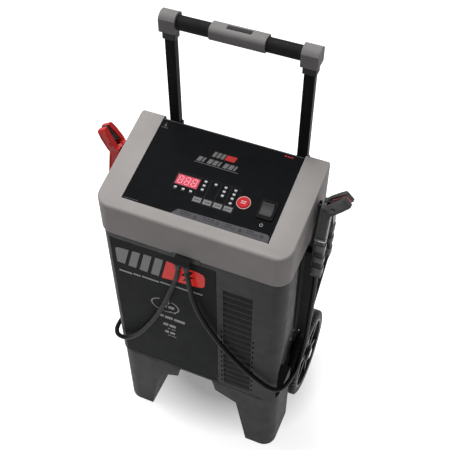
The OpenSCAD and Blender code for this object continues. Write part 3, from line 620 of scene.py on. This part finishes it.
# ---------------------------------------------------------------- clamp details
PAD_ROWS = ((-69.5, 19), (-99, 16), (-128.5, 20))
NECK_ROWS = ((-90.6, 11.2), (-118.1, 10.7))
SHANK_FACE = [(31, -57), (25, -34), (17.5, -7)]
JAW_RAIL = [(15.2, 5), (15.6, 9), (14.2, 31), (12.2, 41), (13.4, 41.5), (15.6, 31), (17.0, 9), (16.4, 5)]
HANDLE_MID = 24.9


def clamp_pads(side, sign):
    """The thick finger pads on one handle."""
    outline = rounded(0, HANDLE_MID, 21.4, 15.2, 5)
    return [prism(outline, high, lambda u, v, n, low=z - high / 2: on_clamp(side, u, sign * v, low + n))
            for z, high in PAD_ROWS]


def clamp_necks(side, sign):
    """The thinner stretches between the pads."""
    outline = rounded(0, HANDLE_MID, 18.5, 12.6, 3)
    return [prism(outline, high, lambda u, v, n, z=z: on_clamp(side, u, sign * v, z + n))
            for z, high in NECK_ROWS]


def clamp_rails(side, sign):
    """Raised rails on one arm, below the pivot and on the jaw, and the boss on the jaw."""
    rails = []
    shank = SHANK_FACE + [(y + 1.7, z - 0.4) for y, z in SHANK_FACE[::-1]]
    for x in (-8.6, 5.6):
        rails.append(prism(shank, 3, lambda u, v, n, x=x: on_clamp(side, x + n, sign * u, v)))
    for x in (-8.4, 5.8):
        rails.append(prism(JAW_RAIL, 2.6,
                           lambda u, v, n, x=x: on_clamp(side, x + n, sign * u, v, LEAN[side])))
    rails.append(prism(disc(0, 15, 4.2, 24), 2.6,
                       lambda u, v, n: on_clamp(side, u, sign * (14.6 + n), v, LEAN[side])))
    return rails


def clamp_details(side, colour, rail_material_or_painted_highlight, pad_material_or_painted_highlight, neck_material_or_painted_shade):
    """Both arms' grips and rails and the steel band on the fixed one; gives the pieces' names. On the black
    clamp the pad and rail material is a painted highlight and the neck material a painted shade.
    """
    names = []
    slot = f"clamp_{colour}"
    for which, sign, body in (("fixed", -1, "charger"), ("moving", 1, f"{colour}_clamp_arm")):
        start = f"{colour}_clamp_{which}_"
        show(merged(clamp_necks(side, sign), start + "necks"), start + "necks", body, slot, neck_material_or_painted_shade)
        pads = show(merged(clamp_pads(side, sign), start + "pads"), start + "pads", body, slot, pad_material_or_painted_highlight)
        softened(pads, 2.6, 3)
        ribs = show(merged(clamp_rails(side, sign), start + "ribs"), start + "ribs", body, slot, rail_material_or_painted_highlight)
        softened(ribs, 0.6)
        names += [start + "necks", start + "pads", start + "ribs"]
    name = f"{colour}_clamp_band"
    band = prism(rounded(0, 27, 18.9, 10.6, 2), 1.6, lambda u, v, n: on_clamp(side, u, -v, -50.4 + n))
    show(merged([band], name), name, "charger", "steel", STEEL)
    return names + [name]


def clamp_forms(colour):
    """Names of the pieces that stand for one clamp's CAD nodes."""
    parts = ("fixed_arm_form", "moving_arm_form", "fixed_jaw_form", "moving_jaw_form", "rivet", "spring")
    return [f"{colour}_clamp_{part}" for part in parts]


# Black clamp: pads and rails in a lighter copy of its plastic as painted highlight, necks in near-black
# plastic as painted shade between the pads.
black_pieces = clamp_forms("black") + clamp_details(1, "black", CLAMP_BLACK_PAINTED_HIGHLIGHT, CLAMP_BLACK_PAINTED_HIGHLIGHT, BLACK)
red_pieces = clamp_forms("red") + clamp_details(-1, "red", RED, RED, RED)


# ---------------------------------------------------------------- printing on the panel
def printed(name, shapes, material, place, body="charger", slot="panel_black", height=PRINT_H, base=0.0):
    """Flat shapes of one colour, standing a hair above the face they are printed on."""
    on = lambda u, v, n: place(u, v, base + n)
    works = [shape(on, height) if callable(shape) else prism(shape, height, on) for shape in shapes]
    return show(merged(works, name), name, body, slot, material)


def round_mark(cx, cy, r0, r1, **more):
    return lambda on, height: ring(cx, cy, r0, r1, height, on, **more)


def frame_lines(x0, y0, x1, y1, width):
    corners = [(x0, y0), (x1, y0), (x0, y1), (x1, y1)]
    return [stroke([corners[a], corners[b]], width) for a, b in ((0, 1), (2, 3), (0, 2), (1, 3))]


def seven_segments(cx, cy, w=7.2, h=13.4, t=1.5, gap=0.35, lean=0.1):
    """The seven bars of one figure eight."""
    bars = []
    for y in (-h / 2, 0, h / 2):
        bars.append([(-w / 2 + gap + t / 2, y), (-w / 2 + gap + t, y + t / 2), (w / 2 - gap - t, y + t / 2),
                     (w / 2 - gap - t / 2, y), (w / 2 - gap - t, y - t / 2), (-w / 2 + gap + t, y - t / 2)])
    for x in (-w / 2, w / 2):
        for y0, y1 in ((-h / 2 + gap, -gap), (gap, h / 2 - gap)):
            bars.append([(x, y0), (x + t / 2, y0 + t / 2), (x + t / 2, y1 - t / 2), (x, y1),
                         (x - t / 2, y1 - t / 2), (x - t / 2, y0 + t / 2)])
    return [[(cx + x + lean * y, cy + y) for x, y in bar] for bar in bars]


def marks(x, y, widths, h, gap=0.9):
    """A row of short bars standing in for small print."""
    out = []
    for w in widths:
        out.append(rectangle(x + w / 2, y, w, h))
        x += w + gap
    return out


def panel_prints():
    figures = [bar for x in (-50.0, -37.9, -25.8) for bar in seven_segments(x, 64.7)]
    printed("display_figures", figures, SEGMENT, on_panel, slot="display_red")
    printed("display_surround", frame_lines(-58.4, 54.2, -17.4, 75.2, 0.9), LINE, on_panel)
    lines = []
    for x in (-9, 9, 27, 45):
        lines += frame_lines(x - 8.2, 43.4, x + 8.2, 79.0, 0.35)
        lines += frame_lines(x - 8.2, 31.2, x + 8.2, 42.8, 0.35)
    lines.append(stroke([(-59.5, 46), (-59.5, 78), (-17.6, 79)], 0.4))
    printed("panel_lines", lines, LINE, on_panel)
    small = []
    for x, rows in ((-8.6, (74, 66, 58)), (9.3, (74,)), (27, (74, 66, 58)), (44.3, (74, 66, 58, 49))):
        for v in rows:
            small += marks(x - 2.2, v - 2.9, (1.6, 2.2), 0.7, 0.5)
    for x in (-53, -39, -25.5):
        small += marks(x - 2.6, 45.6, (2.0, 2.6), 0.6, 0.5)
    small += [stroke([(-126, 3.4), (-100, 3.9)], 0.5)]
    printed("panel_small_print", small, PRINT_GREY, on_panel)
    power = [round_mark(105.7, 28, 2.0, 2.8, start=0.36, sweep=0.78), rectangle(105.7, 30.2, 0.8, 3.2)]
    printed("power_icon", power, PRINT_PALE, on_panel)
    printed("stop_ring", [round_mark(64.4, 57, 10.6, 11.9)], STOP_RIM, on_panel)
    badge = [slanted(-19 + 7.6 * i, 122.5, 5.4, 10.5) for i in range(3)]
    badge += [slanted(-41 + 9.4 * i, 107.5, w, 9.5, 0.3) for i, w in
              enumerate((7.2, 3.4, 7.2, 7.2, 3.4, 7.2, 7.2, 3.4))]
    badge += [slanted(-43, 104.6, 78, 0.9, 0.3)]
    printed("panel_badge", badge, PRINT_GREY, on_panel)
    corner_bars = [slanted(95.5 + 5.4 * i, 161, 4.2, 2.4) for i in range(3)]
    printed("panel_badge_red", [slanted(3.8, 122.5, 17.5, 10.5)] + corner_bars, PRINT_RED, on_panel)
    corner = [stroke([(-119, 161.5), (-119, 155)], 1.0), [(-122, 156.6), (-119, 153.4), (-116, 156.6)]]
    corner += marks(-124.6, 151.4, (3.2, 4.4, 2.2), 1.1, 0.7)
    printed("panel_corner_mark", corner, PRINT_GREY, on_panel)
    outline = [(-41, 0.7), (-31.6, 12.2), (119, 15.4), (123, 14.6), (125.6, 12.4), (126.6, 9), (126.6, 1.2)]
    printed("info_strip", [outline], STRIP, on_panel)
    on_strip = []
    for x, widths in ((-26, (5, 8, 4)), (13, (7, 5, 6)), (52, (5, 4)), (88, (4, 6))):
        on_strip += marks(x, 10.0 + 0.02 * x, widths, 2.0)
        on_strip += marks(x, 6.4 + 0.02 * x, (widths[0] + 3, widths[-1] + 5), 1.3)
        on_strip.append(round_mark(x + 26, 6.9 + 0.02 * x, 1.4, 3.0))
    for x in (9.5, 48.5, 84.5):
        on_strip.append(stroke([(x, 3), (x, 12.8)], 0.4))
    printed("info_strip_marks", on_strip, PRINT_DARK, on_panel, base=PRINT_H)
    edge = [(-128.4, 166.9), (128.4, 166.9), (128.4, 168.2), (-128.4, 168.2)]
    printed("panel_rear_edge", [edge], STRIP, on_panel, height=0.35)


def button_prints():
    """Marks that move with their buttons."""
    for i, x in enumerate((-9, 9, 27, 45)):
        printed(f"mode_button_{i + 1}_mark", marks(x - 4.4, 37, (3.4, 4.6), 1.3), PRINT_DARK, on_panel,
                f"mode_button_{i + 1}", "button_grey", base=1.4)
    stop = marks(60.2, 58.6, (3.6, 4.2), 1.5) + marks(60.8, 55.2, (3.0, 3.6), 1.5)
    printed("stop_button_mark", stop, LAMP, on_panel, "stop_button", "stop_red", base=1.6)


panel_prints()
button_prints()


# ---------------------------------------------------------------- printing on the front label
def leaning_row(x, z, widths, h, rise=0.0):
    """A row of leaning bars standing in for one line of print."""
    row = []
    start = x
    for w in widths:
        row.append(slanted(start, z + rise * (start - x), w, h, 0.2))
        start += w + 2.6
    return row


def label_prints():
    grey = [[(-143, 474), (-128, 473), (-116, 516), (-136, 514.5), (-143, 511)],
            [(-121, 472.6), (-106, 472), (-94, 517.6), (-109, 516.8)],
            [(-99, 471.8), (-84, 471.2), (-72, 519.2), (-87, 518.4)],
            [(-77, 471), (-62, 470.6), (-50, 520.4), (-65, 519.8)]]
    printed("label_badge_grey", grey, LABEL_GREY, on_label)
    # The red badge is drawn in the glowing label red, a painted glow.
    red = [[(-56, 470.4), (12, 476.6), (22, 480), (26, 486), (27, 508), (24, 515), (16, 517.8), (-44, 520.8)]]
    printed("label_badge_red_painted_glow", red, LABEL_RED_PAINTED_GLOW, on_label)
    bolt = [[(-6, 513), (-18, 495), (-8, 495.5), (-16, 479), (8, 500), (-2, 499.5), (6, 514)]]
    printed("label_badge_bolt", bolt, LABEL, on_label, base=PRINT_H)
    small = leaning_row(-142, 449, (26, 14, 34, 22, 30, 24), 4.2, 0.055)
    small += leaning_row(-61, 383, (9, 12), 8) + leaning_row(-74, 349, (13, 16, 22), 7.6, -0.02)
    small += leaning_row(-63, 324, (10, 13), 8.2) + leaning_row(-61, 300.5, (8, 10), 7.4)
    small += leaning_row(-48, 371.5, (5, 6), 3.2) + leaning_row(-54, 315.4, (5, 8), 2.4)
    small += leaning_row(-55, 292.6, (6, 9), 2.2)
    small += [[(-53, 398), (-47, 408), (-45, 408), (-48.5, 401), (-44, 401), (-50.5, 391), (-48.5, 398)]]
    small.append(round_mark(-55, 388, 25.8, 28.4, squash=0.66, start=0.31, sweep=0.86))
    printed("label_small_print", small, LABEL_PALE, on_label)


label_prints()


# ---------------------------------------------------------------- bay screws
def bay_screws():
    """Screw heads on the recessed side panels."""
    places = ((-4, 207), (-60, 524), (-4, 330), (12, 220))
    for side, name in ((-1, "bay_screws_left"), (1, "bay_screws_right")):
        heads = [prism(disc(y, z, 3.2, 20), 1.4, lambda u, v, n: Vector((side * (BAY_X + n), u, v)))
                 for y, z in places]
        softened(show(merged(heads, name), name, "charger", "steel", STEEL), 0.5)


bay_screws()


# ---------------------------------------------------------------- studio
def area_light(name, at, target, size, power):
    data = bpy.data.lights.new(name, "AREA")
    data.shape, data.size, data.energy = "SQUARE", size, power
    lamp = bpy.data.objects.new(name, data)
    lamp.location = at
    lamp.rotation_mode = "QUATERNION"
    lamp.rotation_quaternion = (Vector(target) - Vector(at)).to_track_quat("-Z", "Y")
    bpy.context.scene.collection.objects.link(lamp)


def floor_material():
    """White paper lit from behind, with a painted shadow: its glow is turned down in a patch under the
    object.
    """
    n = Nodes("studio_floor")
    n.link(n.ramp(n.noise(3, 3), 0.86, 0.9), n.shader.inputs["Base Color"])
    n.set(roughness=0.9, specular=0.05)
    n.shader.inputs["Emission Color"].default_value = (1, 1, 1, 1)
    # Painted shadow: a soft spherical patch under the object where the floor's glow drops from 0.78 to 0.24.
    painted_shadow_ball = n.tree.nodes.new("ShaderNodeTexGradient")
    painted_shadow_ball.gradient_type = "SPHERICAL"
    painted_shadow_spread = n.tree.nodes.new("ShaderNodeMapping")
    painted_shadow_spread.inputs["Scale"].default_value = (4.6, 6.0, 1)
    n.link(n.place, painted_shadow_spread.inputs["Vector"])
    n.link(painted_shadow_spread.outputs["Vector"], painted_shadow_ball.inputs["Vector"])
    n.link(n.ramp(painted_shadow_ball.outputs["Fac"], 0.78, 0.24, 0.0, 0.55), n.shader.inputs["Emission Strength"])
    # The floor gives the object less light from below than it shows to the camera
    dim = n.tree.nodes.new("ShaderNodeBsdfDiffuse")
    dim.inputs["Color"].default_value = (0.3, 0.3, 0.3, 1)
    rays = n.tree.nodes.new("ShaderNodeLightPath")
    mix = n.tree.nodes.new("ShaderNodeMixShader")
    n.link(rays.outputs["Is Diffuse Ray"], mix.inputs["Fac"])
    n.link(n.shader.outputs["BSDF"], mix.inputs[1])
    n.link(dim.outputs["BSDF"], mix.inputs[2])
    n.link(mix.outputs["Shader"], n.tree.nodes["Material Output"].inputs["Surface"])
    return n.material


def make_floor():
    mesh = bpy.data.meshes.new("studio_floor")
    half = 12.0
    corners = [(-half, -half, 0), (half, -half, 0), (half, half, 0), (-half, half, 0)]
    mesh.from_pydata(corners, [], [(0, 1, 2, 3)])
    mesh.materials.append(floor_material())
    floor = bpy.data.objects.new("studio_floor", mesh)
    bpy.context.scene.collection.objects.link(floor)


def make_world():
    """A white room: bright behind the object, dim as a light."""
    world = bpy.data.worlds.new("studio_world")
    bpy.context.scene.world = world
    world.use_nodes = True
    tree = world.node_tree
    background = tree.nodes["Background"]
    background.inputs["Color"].default_value = (1, 1, 1, 1)
    seen = tree.nodes.new("ShaderNodeLightPath")
    level = tree.nodes.new("ShaderNodeMapRange")
    level.inputs["To Min"].default_value = 0.2
    level.inputs["To Max"].default_value = 1.0
    tree.links.new(seen.outputs["Is Camera Ray"], level.inputs["Value"])
    tree.links.new(level.outputs["Result"], background.inputs["Strength"])


def make_studio():
    bpy.context.scene.view_settings.view_transform = "Standard"
    make_floor()
    make_world()
    area_light("overhead", (-0.8, 0.45, 3.2), (0, 0, 0.3), 1.8, 66)


make_studio()
